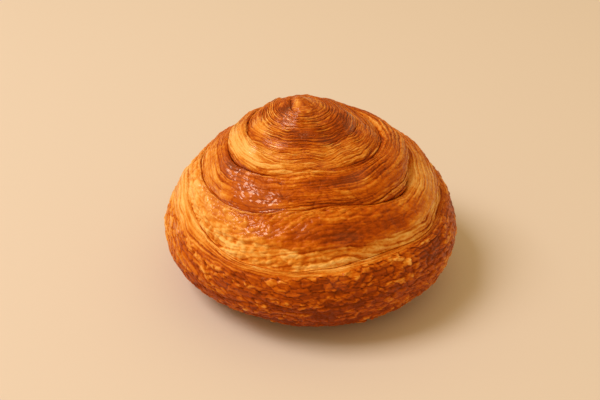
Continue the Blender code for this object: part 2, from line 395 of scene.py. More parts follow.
# How thickly the egg wash lies, and the spots where it lies thicker or thinner.
GLOSS_MEAN = 0.52
GLOSS_PATCHES = Bumps(59, 10.0, 4.0, 0.4)
SWIRL_GLOSS = 0.12
BAND_DULL = 0.5
GLOSS_SPOTS = (
    (-31, 42.5, 15, 2.8, 1.0), (-50, 37.0, 16, 3.0, 0.9), (-50, 50.0, 22, 4.0, 0.25),
    (-30, 10.5, 24, 3.5, 0.7), (-20, 4.0, 50, 2.5, 0.5), (-60, 28.0, 30, 3.0, 0.45),
    (-40, 50.5, 34, 5.0, 0.35), (0, 92.0, 180, 12.0, -0.3), (70, 70.0, 40, 14.0, -0.15),
    (10, 20.0, 30, 4.0, 0.1), (30, 36.0, 20, 3.0, 0.3),
)

# The underside: how brown and glossy it is.
FOOT_BROWN = 0.62
FOOT_PATCHES = (Bumps(71, 9.0, 9.0, 0.16), Bumps(73, 2.2, 2.2, 0.14))
FOOT_GLOSS = 0.1

# The crust's colours, from pale dough to dark brown.
CRUST_RAMP = (
    (0.0, (0.88, 0.5, 0.16)), (0.2, (0.82, 0.385, 0.088)), (0.4, (0.7, 0.226, 0.02)),
    (0.6, (0.53, 0.103, 0.002)), (0.8, (0.36, 0.051, 0.0015)), (1.0, (0.2, 0.026, 0.0015)),
)

# Streaks and thin lines drawn out along the strip, and fine specks: the scale of each one's
# noise, and how much it darkens the crust. The thin lines are sunken, and their darkening is
# painted shade.
NOISE_ROUGHNESS = 0.6
STREAK_SCALE = (0.45, 2.6, 1.0)
STREAK_SHADE = 0.4
STREAK_SHIFT = -0.23
LINE_SCALE = (0.16, 1.15, 1.0)
LINE_SHARPNESS = 16.0
THIN_LINE_PAINTED_SHADE = 0.2
SPECK_SCALE = 1400.0
SPECK_SHADE = 0.26

# How rough the crust is, how gloss smooths it and turns into a coat, and its reflection.
DRY_ROUGHNESS = 0.48
GLOSS_SMOOTHS = 0.32
SPECK_ROUGHNESS = 0.12
COAT_OF_GLOSS = 1.9
COAT_STARTS = 1.2
CRUST_LOOK = {
    "Coat Roughness": 0.2, "Specular IOR Level": 0.25, "Specular Tint": (1.0, 0.6, 0.2, 1.0),
}

# The finest unevenness, too small for the mesh, and how the coat hides it.
BUMP_HEIGHT = 0.00018
BUMP_STRENGTH = 0.9
COAT_HIDES_BUMP = 0.8
LINE_DEPTH = 0.5
SPECK_HEIGHT = 0.7

# --- camera, light and floor

# The photograph's camera, and where it sees the bun.
CAMERA_ELEVATION = 32.0
CAMERA_DISTANCE = 0.4
LOOK_AT = Vector((-0.0047, 0.0, 0.029))
LENS_MM = 64.3

# The soft light from the upper left, and the warm light from all round.
KEY_DIRECTION = Vector((-0.56, -0.1, 0.82))
KEY_DISTANCE = 1.5
KEY_SIZE = 0.7
KEY_POWER = 15.8
KEY_COLOR = (1.0, 0.95, 0.87)
WORLD_LIGHT = {"Color": (1.0, 0.77, 0.35, 1.0), "Strength": 0.7}

FLOOR_SIZE = 6.0
FLOOR_LOOK = {
    "Base Color": (0.69, 0.577, 0.53, 1.0), "Roughness": 0.85, "Specular IOR Level": 0.1,
}

# --- curves and noise

# Whole numbers that stir the bits of a cell's place and of a seed into a random number.
CELL_FACTORS = np.array([73856093, 19349663, 83492791], np.uint32)
SEED_FACTOR = 2654435761
BIT_STIRS = ((16, 0x7FEB352D), (15, 0x846CA68B), (16, 1))
NUMBERS_IN_WORD = 2**32

# The finer size in rough noise: how much finer it is, how far shifted, and its share.
FINER_TIMES = 2.17
FINER_SHIFT = 5.3
FINER_SHARE = 0.35

# The radius of a dome, in cells, and a distance that no plate is from its neighbours.
LEAST_DOME = 0.45
DOME_VARIES = 0.45
FAR_AWAY = 9.0


def smooth(x):
    """0 below 0, 1 above 1, with a smooth step between."""
    x = np.clip(x, 0.0, 1.0)
    return x * x * (3.0 - 2.0 * x)


def rising(value, start, length):
    """0 up to the start and 1 a length past it, with a smooth step between."""
    return smooth((value - start) / length)


def between(value, start, end, length):
    """1 between a start and an end and 0 outside them, with a smooth step inside each."""
    return smooth((value - start) / length) * smooth((end - value) / length)


def degrees_apart(first, second):
    """How far the first direction lies to the right of the second, from -180 to 180."""
    return (first - second + 180.0) % 360.0 - 180.0


def through_points(points, at):
    """A smooth curve through (place, value) points, held level past both ends."""
    places, values = (np.array(column, float) for column in zip(*points))
    slopes = np.gradient(values, places)
    slopes[0] = slopes[-1] = 0.0
    at = np.clip(at, places[0], places[-1])
    left = np.clip(np.searchsorted(places, at, side="right") - 1, 0, len(places) - 2)
    span = places[left + 1] - places[left]
    x = (at - places[left]) / span
    start = values[left] * (1 + 2 * x) * (1 - x) ** 2 + slopes[left] * span * x * (1 - x) ** 2
    end = values[left + 1] * x * x * (3 - 2 * x) - slopes[left + 1] * span * x * x * (1 - x)
    return start + end


def random_at(cells, seed):
    """A fixed random number from 0 to 1 for each row of whole numbers."""
    factors = CELL_FACTORS[: cells.shape[1]]
    mixed = np.bitwise_xor.reduce(cells.astype(np.int64).astype(np.uint32) * factors, axis=1)
    mixed ^= np.uint32(seed * SEED_FACTOR % NUMBERS_IN_WORD)
    for shift, factor in BIT_STIRS:
        mixed = (mixed ^ (mixed >> np.uint32(shift))) * np.uint32(factor)
    return mixed / float(NUMBERS_IN_WORD)


def noise(seed, *places):
    """Smooth noise from -1 to 1 over places, whose unit is one bump."""
    points = np.stack(places, axis=-1)
    cell = np.floor(points)
    part = points - cell
    part = part**3 * (part * (part * 6.0 - 15.0) + 10.0)
    total = np.zeros(len(points))
    for corner in itertools.product((0, 1), repeat=points.shape[1]):
        weight = np.prod(np.where(corner, part, 1.0 - part), axis=1)
        total += weight * random_at(cell + corner, seed)
    return total * 2.0 - 1.0


def rough_noise(seed, *places):
    """Two sizes of noise together."""
    finer = [place * FINER_TIMES + FINER_SHIFT for place in places]
    return (1.0 - FINER_SHARE) * noise(seed, *places) + FINER_SHARE * noise(seed + 1, *finer)


def cells_near(grid, along_mm, down_mm):
    """Each cell beside the points, and how far they lie from its middle, which is set at random."""
    points = np.stack([along_mm / grid.length_mm, down_mm / grid.height_mm], axis=-1)
    own_cell = np.floor(points)
    for step in itertools.product((-1, 0, 1), repeat=2):
        cell = own_cell + step
        middle = np.stack([random_at(cell, grid.seed), random_at(cell, grid.seed + 1)], axis=-1)
        yield cell, points - cell - middle


def plates_at(plates, along_mm, down_mm):
    """Plates at the points: 0 at an edge and 1 inside, a tone, how loose, and the tilt's height."""
    nearest = np.full(len(along_mm), FAR_AWAY)
    second = nearest
    own, other, tilt = np.zeros((3, len(along_mm)))
    for cell, away in cells_near(plates, along_mm, down_mm):
        distance = np.hypot(*away.T)
        closer = distance < nearest
        second = np.where(closer, nearest, np.minimum(second, distance))
        nearest = np.where(closer, distance, nearest)
        own = np.where(closer, random_at(cell, plates.seed + 2), own)
        other = np.where(closer, random_at(cell, plates.seed + 4), other)
        turn = 2.0 * math.pi * random_at(cell, plates.seed + 3)
        tilt = np.where(closer, away[:, 0] * np.cos(turn) + away[:, 1] * np.sin(turn), tilt)
    inside = smooth((second - nearest) / plates.edge)
    return inside, own, rising(other, plates.past, plates.blend), tilt


def shingles(layers, place, *keys):
    """Overlapping layers, one for each pitch of a place: their relief, their lines and a tone.

    Each layer rises sharply past its groove to a crest and then slopes away. The lines are
    dark, 1, in the grooves, as painted shade, and pale, below 0, on the crests, the cut edges
    of the dough. Along a layer, by keys, it swells and dies away again, and its tone changes.
    """
    field = place / layers.pitch + layers.start
    keys = [key / stretch for key, stretch in zip(keys, layers.stretches_mm)]
    number = np.floor(field)
    part = field - number
    strength = STRENGTH_MEAN + STRENGTH_VARIES * noise(layers.seed, number * LAYER_STEP, *keys)
    strength = LEAST_STRENGTH + (1.0 - LEAST_STRENGTH) * smooth(strength)
    off_groove = np.minimum(part, 1.0 - part) / layers.groove
    groove = np.clip(1.0 - off_groove, 0.0, 1.0) ** GROOVE_POWER
    off_crest = np.abs(part - CREST_PLACE * layers.groove) / layers.groove
    crest = np.clip(1.0 - off_crest, 0.0, 1.0)
    relief = strength * (smooth(part / layers.groove) - part - groove)
    lines = strength * (groove - CREST_PALENESS * crest)
    tone_keys = [TONE_STRETCH * key for key in keys]
    tone = noise(layers.seed + 1, number * TONE_STEP, *tone_keys)
    return relief, lines, tone


def two_sizes(wide, fine, fine_shares, place, *keys):
    """The relief, lines and tone of wide layers with a share of fine ones on them."""
    both = zip(shingles(wide, place, *keys), fine_shares, shingles(fine, place, *keys))
    return [of_wide + share * of_fine for of_wide, share, of_fine in both]


# --- the coil's rule


def outline():
    """The outline's radius and height, and the distance down it from the tip, as tables."""
    down = np.linspace(0.0, 0.5 * math.pi, OUTLINE_STEPS)
    rise = np.cos(down)
    upper_radius = BUN_RADIUS * (1.0 - rise**SIDE_POWER) ** TIP_POWER
    upper_height = WIDEST_HEIGHT + (BUN_HEIGHT - WIDEST_HEIGHT) * rise
    lower_radius = FOOT_RADIUS + (BUN_RADIUS - FOOT_RADIUS) * np.cos(down)
    lower_height = WIDEST_HEIGHT * (1.0 - np.sin(down))
    radius = np.concatenate([upper_radius, lower_radius[1:]])
    height = np.concatenate([upper_height, lower_height[1:]])
    reach = np.concatenate([[0.0], np.cumsum(np.hypot(np.diff(radius), np.diff(height)))])
    return radius, height, reach


OUTLINE_RADIUS, OUTLINE_HEIGHT, OUTLINE_REACH = outline()
SIDE_LENGTH = OUTLINE_REACH[-1]


def seam_reach(turns):
    """How far down the side the seam lies, so many turns from the tip."""
    reach = through_points(SEAM_PATH + ((LAST_TURN, SIDE_LENGTH),), turns)
    free = rising(turns, *WOBBLE_GROWS)
    free = free * smooth((LAST_TURN - WOBBLE_ENDS_OVER - turns) / WOBBLE_ENDS_OVER)
    for bumps, size in SEAM_WOBBLE:
        reach = reach + free * size * noise(bumps, turns * bumps)
    return reach


def seam_depth(turns):
    """How deep the seam lies, and never deep beside the width of the strip there."""
    above, here, below = (seam_reach(turns + step) for step in (-1.0, 0.0, 1.0))
    varied = 1.0 + DEPTH_VARIES * noise(DEPTH_SEED, turns * DEPTH_BUMPS)
    depth = through_points(SEAM_DEPTH, turns) * varied
    return np.minimum(depth, DEEPEST_SHARE_OF_WIDTH * np.minimum(here - above, below - here))


def lumps(angle, reach, radius):
    """The height of the baked lumps, which fade out towards the tip."""
    total = np.zeros_like(reach)
    for around, down, phase, size in LUMPS:
        wave = 2.0 * math.pi * down * reach / SIDE_LENGTH
        fade = smooth(radius / (LUMP_FREE_RADIUS * around))
        total += size * fade * np.sin(around * angle + phase) * np.cos(wave + phase * around)
    return total


def distance_along(turns):
    """How far along the strip a place lies, in millimetres, measured down its middle."""
    table = np.linspace(-1.0, LAST_TURN, LENGTH_STEPS)
    middle = 0.5 * (seam_reach(table) + seam_reach(table + 1.0))
    radius = np.interp(middle, OUTLINE_REACH, OUTLINE_RADIUS)
    steps = 0.5 * (radius[1:] + radius[:-1]) * 2.0 * math.pi * np.diff(table)
    return np.interp(turns, table, np.concatenate([[0.0], np.cumsum(steps)])) / MM


# --- the crust


class Crust:
    """Everything about points of the crust, given as turns from the tip and share across."""

    def __init__(self, turns, across):
        self.turns = turns
        self.across = across
        self.top = seam_reach(turns)
        self.width = np.maximum(seam_reach(turns + 1.0) - self.top, LEAST_WIDTH)
        self.along_mm = distance_along(turns)
        self.down_mm = across * self.width / MM
        self.up_mm = (1.0 - across) * self.width / MM
        self.angle = -2.0 * math.pi * (turns - FRONT_OF_TURN)
        self.off_seams = smooth(self.down_mm / SEAM_CLEAR_MM) * smooth(self.up_mm / SEAM_CLEAR_MM)
        self.place_on_coil()
        self.find_regions()
        self.find_relief()

    def place_on_coil(self):
        """Where each point lies on the outline, and how far the coil's form moves it."""
        rim = np.minimum(RIM_WIDTH, RIM_SHARE * self.width)
        edge = np.minimum(EDGE_WIDTH, EDGE_SHARE * self.width)
        in_rim = np.clip(1.0 - self.across * self.width / rim, 0.0, 1.0)
        in_edge = np.clip(1.0 - (1.0 - self.across) * self.width / edge, 0.0, 1.0)
        upper_depth = seam_depth(self.turns)
        lower_depth = seam_depth(self.turns + 1.0)
        upper_open = smooth(upper_depth / RIM_OVERHANG)
        lower_open = smooth(lower_depth / RIM_OVERHANG)
        self.open_seam = np.where(self.across < 0.5, upper_open, lower_open)
        rise = self.at_turn(SWELL) * np.sqrt(4.0 * self.across * (1.0 - self.across))
        rise -= upper_depth * (1.0 - np.sqrt(1.0 - in_rim**2))
        rise -= lower_depth * (1.0 - np.sqrt(1.0 - in_edge**2))
        reach = self.top + self.across * self.width
        reach += RIM_OVERHANG * (upper_open * in_rim**2 + lower_open * in_edge**4)
        reach -= RIM_ROLL * upper_open * np.sin(math.pi * in_rim)
        reach = np.clip(reach, 0.0, SIDE_LENGTH)
        self.reach_mm = reach / MM
        self.radius = np.interp(reach, OUTLINE_REACH, OUTLINE_RADIUS)
        self.height = np.interp(reach, OUTLINE_REACH, OUTLINE_HEIGHT)
        down_slope = np.gradient(OUTLINE_HEIGHT, OUTLINE_REACH)
        out_slope = np.gradient(OUTLINE_RADIUS, OUTLINE_REACH)
        self.outward = -np.interp(reach, OUTLINE_REACH, down_slope)
        self.upward = np.interp(reach, OUTLINE_REACH, out_slope)
        self.rise = rise + lumps(self.angle, reach, self.radius)
        self.x_mm = self.radius * np.sin(self.angle) / MM
        self.y_mm = -self.radius * np.cos(self.angle) / MM
        self.z_mm = self.height / MM

    def over_strip(self, bumps, kind=noise):
        """Noise over the strip of dough."""
        seed, length_mm, height_mm, size = bumps
        return size * kind(seed, self.along_mm / length_mm, self.down_mm / height_mm)

    def along_strip(self, bumps, kind=noise):
        """Noise that changes along the strip alone, in bumps of two lengths."""
        seed, length_mm, other_mm, size = bumps
        return size * kind(seed, self.along_mm / length_mm, self.along_mm / other_mm)

    def through_space(self, bumps, kind=noise):
        """Noise through space, which is the same on both sides of a seam."""
        seed, width_mm, height_mm, size = bumps
        places = self.x_mm / width_mm, self.y_mm / width_mm, self.z_mm / height_mm
        return size * kind(seed, *places)

    def at_turn(self, curve):
        """The value of a curve that goes by turns from the tip."""
        return through_points(curve, self.turns)

    def moved(self, place_mm, wanders):
        """A place over the strip, moved by each noise."""
        return place_mm + sum(self.over_strip(bumps) for bumps in wanders)

    def domes(self, domes):
        """The height of round domes over the strip, from 0 to 1."""
        height = np.zeros_like(self.bent_along)
        for cell, away in cells_near(domes, self.bent_along, self.bent_down):
            radius = LEAST_DOME + DOME_VARIES * random_at(cell, domes.seed + 2)
            dome = np.clip(1.0 - (np.hypot(*away.T) / radius) ** 2, 0.0, 1.0) * radius
            there = random_at(cell, domes.seed + 3) < domes.share
            height = np.maximum(height, np.where(there, dome, 0.0))
        return height

    def spots(self, spots):
        """The sum of soft ragged spots, each with its place, half widths and amount."""
        total = np.zeros_like(self.reach_mm)
        for angle, place, half_angle, half_height, amount in spots:
            across = degrees_apart(self.spot_degrees, angle) / half_angle
            down = (self.spot_reach_mm - place) / half_height
            total += amount * np.exp(-(across**SPOT_POWER) - down**SPOT_POWER)
        return total

    def find_regions(self):
        """How far each point is in a region, from 0 outside to 1 inside."""
        degrees = np.degrees(self.angle)
        off_front = np.abs(degrees_apart(degrees, FRONT_MIDDLE_DEGREES))
        front = 1.0 - rising(off_front, *FRONT_ENDS_DEGREES)
        ends_mm = [end + more * front for end, more in zip(SWIRL_ENDS_MM, FRONT_MORE_MM)]
        self.swirl = 1.0 - rising(self.reach_mm, *ends_mm)
        self.off_tip = rising(self.reach_mm, *TIP_ENDS_MM)

        ragged_mm = self.over_strip(RAGGED_MM, rough_noise)
        band = self.at_turn(PALE_BAND_MM)
        inside_mm = band - self.up_mm + ragged_mm * smooth(band)
        self.in_band = smooth(inside_mm / BORDER_MM) * smooth(band)
        lip = self.at_turn(LIP_MM)
        self.past_lip = smooth((self.down_mm - lip + LIP_RAGGED_TIMES * ragged_mm) / BORDER_MM)
        self.on_base = rising(self.turns, *BASE_STARTS)
        self.in_lip = self.on_base * (1.0 - self.past_lip)

        self.spot_degrees = degrees + self.over_strip(SPOT_RAGGED_DEGREES, rough_noise)
        self.spot_reach_mm = self.reach_mm + self.over_strip(SPOT_RAGGED_MM, rough_noise)
        self.wet = np.clip(self.spots(WET_SPOTS), 0.0, 1.0)
        self.calm = 1.0 - WET_CALMS * self.wet

    def find_relief(self):
        """Adds the layers, flakes and blisters of the crust to the coil's form."""
        self.bent_along = self.moved(self.along_mm, BENDS_ALONG_MM)
        self.bent_down = self.moved(self.down_mm, BENDS_DOWN_MM)
        shared = self.ring_relief() + self.through_space(UNEVEN_MM, rough_noise)
        shared += self.calm * self.through_space(GRAIN_MM, rough_noise)
        strip = self.calm * (self.layer_relief() + self.plate_relief())
        strip += WET_RELIEF_MM * self.wet * self.off_tip * self.domes(WET_DOMES)
        strip += self.fleck_relief() + self.wrinkle_relief() + self.blister_relief()
        strip -= PALE_BAND_DEPTH_MM * self.in_band
        strip += LIP_STEP_MM * self.on_base * (self.past_lip - 1.0)
        strip += self.crease_relief()
        relief_mm = strip * self.off_seams + shared - self.spots(DENTS_MM)
        self.rise = self.rise + MM * relief_mm

    def ring_relief(self):
        """Layers that run round the tip."""
        ring = self.reach_mm + self.through_space(RING_TREMBLE_MM)
        for bumps in RING_WANDERS_MM:
            ring += self.off_tip * self.through_space(bumps)
        east = RING_KEY_RADIUS_MM * np.sin(self.angle)
        north = RING_KEY_RADIUS_MM * np.cos(self.angle)
        rings = two_sizes(WIDE_RINGS, FINE_RINGS, FINE_RINGS_SHARES, ring, east, north)
        relief, lines, self.ring_tone = rings
        patchy = RING_MEAN + self.through_space(RING_PATCHES, rough_noise)
        patchy = np.clip(patchy, *RING_BOUNDS)
        self.ring_lines = patchy * lines
        by_tip = RING_SHARE_AT_TIP + (1.0 - RING_SHARE_AT_TIP) * self.off_tip
        return RING_RELIEF_MM * self.swirl * by_tip * self.calm * patchy * relief

    def layer_relief(self):
        """Layers that follow the coil."""
        place = self.moved(self.down_mm, LAYER_WANDERS_MM) / self.at_turn(LAYER_PITCH_MM)
        layers = two_sizes(WIDE_LAYERS, FINE_LAYERS, FINE_LAYERS_SHARES, place, self.along_mm)
        relief, self.layer_lines, self.layer_tone = layers
        upper = smooth((UPPER_EDGE_MM - self.down_mm) / EDGE_BLEND_MM)
        lower = smooth((LOWER_EDGE_MM - self.up_mm) / EDGE_BLEND_MM)
        patchy = np.clip(LAYER_MEAN + self.over_strip(LAYER_PATCHES, rough_noise), *LAYER_BOUNDS)
        layer_mm = self.at_turn(LAYER_RELIEF_MM) * patchy
        layer_mm += BAND_LAYER_MM * self.in_band + LIP_LAYER_MM * self.in_lip
        layer_mm += EDGE_LAYER_MM * np.minimum(upper + lower, 1.0)
        self.layer_mm = layer_mm * (1.0 - self.swirl)
        return self.layer_mm * relief

    def plate_relief(self):
        """Plates of crust that broke and tilted."""
        slanted = self.bent_along + PLATE_SLANT * self.bent_down
        inside, self.plate_tone, self.loose, tilt = plates_at(PLATES, slanted, self.bent_down)
        self.plate_edge = 1.0 - inside
        plate = PLATE_TILT * tilt + LOOSE_LIFT * self.loose - PLATE_EDGE_DEPTH * self.plate_edge
        calm = (1.0 - LIP_CALMS * self.in_lip) * (1.0 - BAND_CALMS * self.in_band)
        self.flake_mm = self.at_turn(FLAKE_RELIEF_MM) * calm * self.off_tip
        return self.flake_mm * plate

    def fleck_relief(self):
        """Chips and small domes that stand up from the crust."""
        slanted = self.bent_along + CHIP_SLANT * self.down_mm
        inside, own, loose, tilt = plates_at(CHIPS, slanted, self.bent_down)
        chip = loose * inside * (CHIP_HEIGHT + CHIP_VARIES * own + CHIP_TILT * tilt)
        thick = smooth(FLECK_MEAN + self.over_strip(FLECK_PATCHES))
        self.fleck = thick * (CHIP_SHARE * chip + SMALL_DOME_SHARE * self.domes(SMALL_DOMES))
        self.fleck_mm = self.at_turn(FLECK_RELIEF_MM) * (1.0 - self.in_lip)
        return self.fleck_mm * self.fleck

    def blister_relief(self):
        """Blisters of two sizes."""
        self.blister = sum(share * self.domes(domes) for domes, share in BLISTERS)
        more = (1.0 - LIP_CALMS * self.in_lip) * (1.0 + BAND_BLISTERS * self.in_band)
        self.blister_mm = self.at_turn(BLISTER_RELIEF_MM) * more * self.off_tip
        return self.blister_mm * (self.blister - BLISTER_LEVEL)

    def wrinkle_relief(self):
        """Wrinkles that slant over the third turn."""
        slanted = self.down_mm - WRINKLE_SLANT * self.along_mm
        slanted += self.over_strip(WRINKLE_WANDERS_MM)
        wrinkle, lines, _ = shingles(WRINKLES, slanted, self.along_mm, self.down_mm)
        wrinkled = between(self.turns, *WRINKLED_TURNS) * (1.0 - self.in_band)
        self.wrinkle_lines = wrinkled * lines
        return WRINKLE_MM * wrinkled * wrinkle

    def crease_relief(self):
        """The crease low on the last turn."""
        ragged_mm = self.along_strip(CREASE_RAGGED_MM, rough_noise)
        off_crease = np.abs(self.reach_mm - self.at_turn(LOW_CREASE_MM) + ragged_mm)
        whole = smooth(CREASE_MEAN + self.along_strip(CREASE_GAPS))
        creased = whole * between(self.turns, *CREASE_TURNS)
        self.crease = creased * smooth(1.0 - off_crease / CREASE_HALF_WIDTH_MM)
        return -LOW_CREASE_DEPTH_MM * self.crease

    def points(self):
        """Each point's place in space."""
        rise = smooth(self.height / FLAT_BELOW) * self.rise
        out = self.radius + rise * self.outward
        x = out * np.sin(self.angle) + TIP_LEAN * (self.height / BUN_HEIGHT) ** LEAN_POWER
        y = -out * np.cos(self.angle)
        z = np.maximum(self.height + rise * self.upward, 0.0)
        return np.stack([x, y, z], axis=-1)

    def brown(self):
        """How brown the crust is, from 0, pale dough, to 1, dark brown."""
        # Besides the browning, this paints shade into grooves, seams, cracks and the crease, and
        # light and shade into a few spots.
        by_turn = self.at_turn(TURN_BROWN)
        by_reach = through_points(SWIRL_BROWN, self.reach_mm)
        # Some of these spots are painted light and shade, not browning.
        brown = by_turn + self.swirl * (by_reach - by_turn) + self.spots(BROWN_AND_PAINTED_LIGHT_SPOTS)
        brown += self.over_strip(PATCH_BROWN, rough_noise)
        brown += self.through_space(GRAIN_BROWN, rough_noise)
        # Painted shade in the layers' grooves, and the pale cut edges of the dough on their crests.
        layers = LINE_SHADE_AND_EDGE_PER_MM * self.layer_lines + TONE_BROWN_PER_MM * self.layer_tone
        brown += self.layer_mm * layers
        # Painted shade in the rings' grooves, and pale cut edges on their crests.
        ring_shade_and_edge = RING_SHADE_AND_EDGE_AT_TIP + RING_SHADE_AND_EDGE_OFF_TIP * self.off_tip
        brown += self.swirl * (ring_shade_and_edge * self.ring_lines + RING_TONE_BROWN * self.ring_tone)
        plates = PLATE_BROWN_PER_MM * (self.plate_tone - 0.5) - LOOSE_PALE_PER_MM * self.loose
        # The sunken plate edges are darkened with painted shade.
        brown += self.flake_mm * (plates + PLATE_EDGE_PAINTED_SHADE_PER_MM * self.plate_edge)
        brown += self.fleck_mm * (FLECKED_BROWN - FLECK_PALE * self.fleck)
        brown -= BLISTER_PALE * self.blister_mm * (self.blister - BLISTER_PALE_PAST)
        brown -= BAND_PALE * self.in_band + LIP_PALE * self.in_lip
        brown += self.in_band * self.over_strip(BAND_PATCH_BROWN, rough_noise)
        # Painted shade in the wrinkles' grooves and in the crease, pale cut edges on the wrinkles'
        # crests.
        brown += WRINKLE_SHADE_AND_EDGE * self.wrinkle_lines + CREASE_PAINTED_SHADE * self.crease
        # Painted shade in the open seams.
        in_seam = self.open_seam * (1.0 - self.off_seams)
        brown += SEAM_PAINTED_SHADE * in_seam * np.clip(1.0 + self.along_strip(SEAM_GAPS), *SEAM_BOUNDS)
        return np.clip(brown, 0.0, 1.0)

    def strands(self):
        """How much the fine lines of the layers show, from 0 to 1."""
        lost = rising(self.turns, *STRANDS_LOST_TURNS)
        per_mm = STRANDS_PER_MM - STRANDS_LOST_PER_MM * lost
        shown = self.swirl + per_mm * self.layer_mm - STRANDS_HIDDEN
        return np.clip(shown * (1.0 - FLECKS_HIDE * self.fleck_mm), LEAST_STRANDS, 1.0)

    def gloss(self):
        """How thickly the egg wash lies, from 0 to 1."""
        gloss = GLOSS_MEAN + self.over_strip(GLOSS_PATCHES, rough_noise)
        gloss += SWIRL_GLOSS * self.swirl + self.spots(GLOSS_SPOTS)
        return np.clip(gloss * (1.0 - BAND_DULL * self.in_band), 0.0, 1.0)


# --- the crust's mesh


def rows_of(sections):
    """How many steps the mesh takes across the strip at each section."""
    turns = sections / SECTIONS_PER_TURN
    width_mm = (seam_reach(turns + 1.0) - seam_reach(turns)) / MM
    spacing = np.interp(turns, *zip(*ROW_SPACING_MM))
    rows = np.maximum(np.round(width_mm / spacing / ROW_STEP) * ROW_STEP, 1)
    return np.where(width_mm < 2.0 * TIP_RADIUS / MM, 1, rows).astype(int)


class Coil:
    """The mesh of the whole coil: its points, their looks, and which of them are one point."""

    def __init__(self):
        self.sections = np.arange(-SECTIONS_PER_TURN, round(LAST_TURN * SECTIONS_PER_TURN) + 1)
        self.rows = rows_of(self.sections)
        self.first = np.concatenate([[0], np.cumsum(self.rows + 1)])
        row = np.arange(self.first[-1]) - np.repeat(self.first[:-1], self.rows + 1)
        even = row / np.repeat(self.rows, self.rows + 1)
        across = even - CROWDING_AT_SEAMS * np.sin(2.0 * math.pi * even) / (2.0 * math.pi)
        turns = np.repeat(self.sections, self.rows + 1) / SECTIONS_PER_TURN
        self.crust = Crust(turns, np.clip(across, 0.0, 1.0))
        self.shared = self.share_points()
        self.places = self.crust.points()
        self.looks = np.array([self.crust.brown(), self.crust.gloss(), self.crust.strands()])

    def share_points(self):
        """Which point stands for each: seams are shared by two turns, and ends are one point."""
        shared = np.arange(self.first[-1])
        top = self.first[:-1]
        below = np.flatnonzero(self.sections + SECTIONS_PER_TURN <= self.sections[-1])
        shared[top[below] + self.rows[below]] = top[below + SECTIONS_PER_TURN]
        at_tip = seam_reach(self.sections / SECTIONS_PER_TURN) < TIP_RADIUS
        shared[top[at_tip]] = top[SECTIONS_PER_TURN]
        shared[top[-1] :] = top[-1]
        return shared[shared]

    def triangles(self, start, stop):
        """The triangles between two sections, as numbers of points."""
        found = []
        for index in range(start, stop):
            here, there = self.first[index], self.first[index + 1]
            rows, next_rows = self.rows[index], self.rows[index + 1]
            if rows == next_rows:
                down = np.arange(rows)
                found.append(np.stack([here + down, there + down, here + down + 1], axis=-1))
                found.append(np.stack([here + down + 1, there + down, there + down + 1], axis=-1))
            else:
                found.append(self.stitches(here, rows, there, next_rows))
        found = np.concatenate(found)
        first, second, third = self.shared[found].T
        return found[(first != second) & (second != third) & (third != first)]

    @staticmethod
    def stitches(here, rows, there, next_rows):
        """Triangles between two sections whose numbers of rows differ."""
        found = []
        left = right = 0
        while left < rows or right < next_rows:
            if right == next_rows or (left < rows and (left + 1) * next_rows <= (right + 1) * rows):
                found.append((here + left, there + right, here + left + 1))
                left += 1
            else:
                found.append((here + left, there + right, there + right + 1))
                right += 1
        return np.array(found)

    def band(self, name, start, stop):
        """One band of the crust as a mesh object."""
        first = np.searchsorted(self.sections, round(start * SECTIONS_PER_TURN))
        last = np.searchsorted(self.sections, round(stop * SECTIONS_PER_TURN))
        corners = self.triangles(first, last)
        used, faces = np.unique(self.shared[corners], return_inverse=True)
        faces = faces.reshape(-1, 3)
        strand = np.stack([self.crust.along_mm, self.crust.down_mm], axis=-1)[corners]
        return mesh_object(name, self.places[used], faces, self.looks[:, used], strand)

    def foot(self):
        """The flat underside, in rings that shrink to the middle."""
        last_turn = np.arange(len(self.sections) - SECTIONS_PER_TURN, len(self.sections))
        lowest = self.first[last_turn] + self.rows[last_turn]
        rim = self.places[self.shared[lowest]]
        scale = 1.0 - np.arange(FOOT_RINGS) / FOOT_RINGS
        points = (scale[:, None, None] * rim).reshape(-1, 3)
        points = np.concatenate([points, [[0.0, 0.0, 0.0]]])
        around = np.arange(SECTIONS_PER_TURN)
        after = (around + 1) % SECTIONS_PER_TURN
        faces = []
        for ring in range(FOOT_RINGS - 1):
            outer, inner = ring * SECTIONS_PER_TURN, (ring + 1) * SECTIONS_PER_TURN
            faces.append(np.stack([outer + around, outer + after, inner + around], axis=-1))
            faces.append(np.stack([outer + after, inner + after, inner + around], axis=-1))
        middle = np.full(SECTIONS_PER_TURN, len(points) - 1)
        faces.append(np.stack([inner + around, inner + after, middle], axis=-1))
        faces = np.concatenate(faces)
        x_mm, y_mm = points[:, 0] / MM, points[:, 1] / MM
        looks = np.full((3, len(points)), [[FOOT_BROWN], [FOOT_GLOSS], [LEAST_STRANDS]])
        for seed, length_mm, width_mm, size in FOOT_PATCHES:
            looks[0] += size * rough_noise(seed, x_mm / length_mm, y_mm / width_mm)
        return mesh_object("crust_foot", points, faces, looks, points[faces][..., :2] / MM)


def mesh_object(name, points, faces, looks, strand):
    """A smooth mesh object, with looks at each point and a place on the strip at each corner."""
    data = bpy.data.meshes.new(name)
    data.from_pydata(points.tolist(), [], faces.tolist())
    data.shade_smooth()
    data.update()
    for look, values in zip(LOOKS, looks):
        attribute = data.attributes.new(look, "FLOAT", "POINT")
        attribute.data.foreach_set("value", values.astype(np.float32))
    data.uv_layers.new(name="Strand").data.foreach_set("uv", strand.astype(np.float32).ravel())
    piece = bpy.data.objects.new(name, data)
    bpy.context.scene.collection.objects.link(piece)
    return piece


# --- the crust's material


def set_inputs(tree, node, inputs):
    """Links the inputs that another node gives, and sets the others."""
    for name, value in inputs.items():
        if isinstance(value, bpy.types.NodeSocket):
            tree.links.new(value, node.inputs[name])
        else:
            node.inputs[name].default_value = value


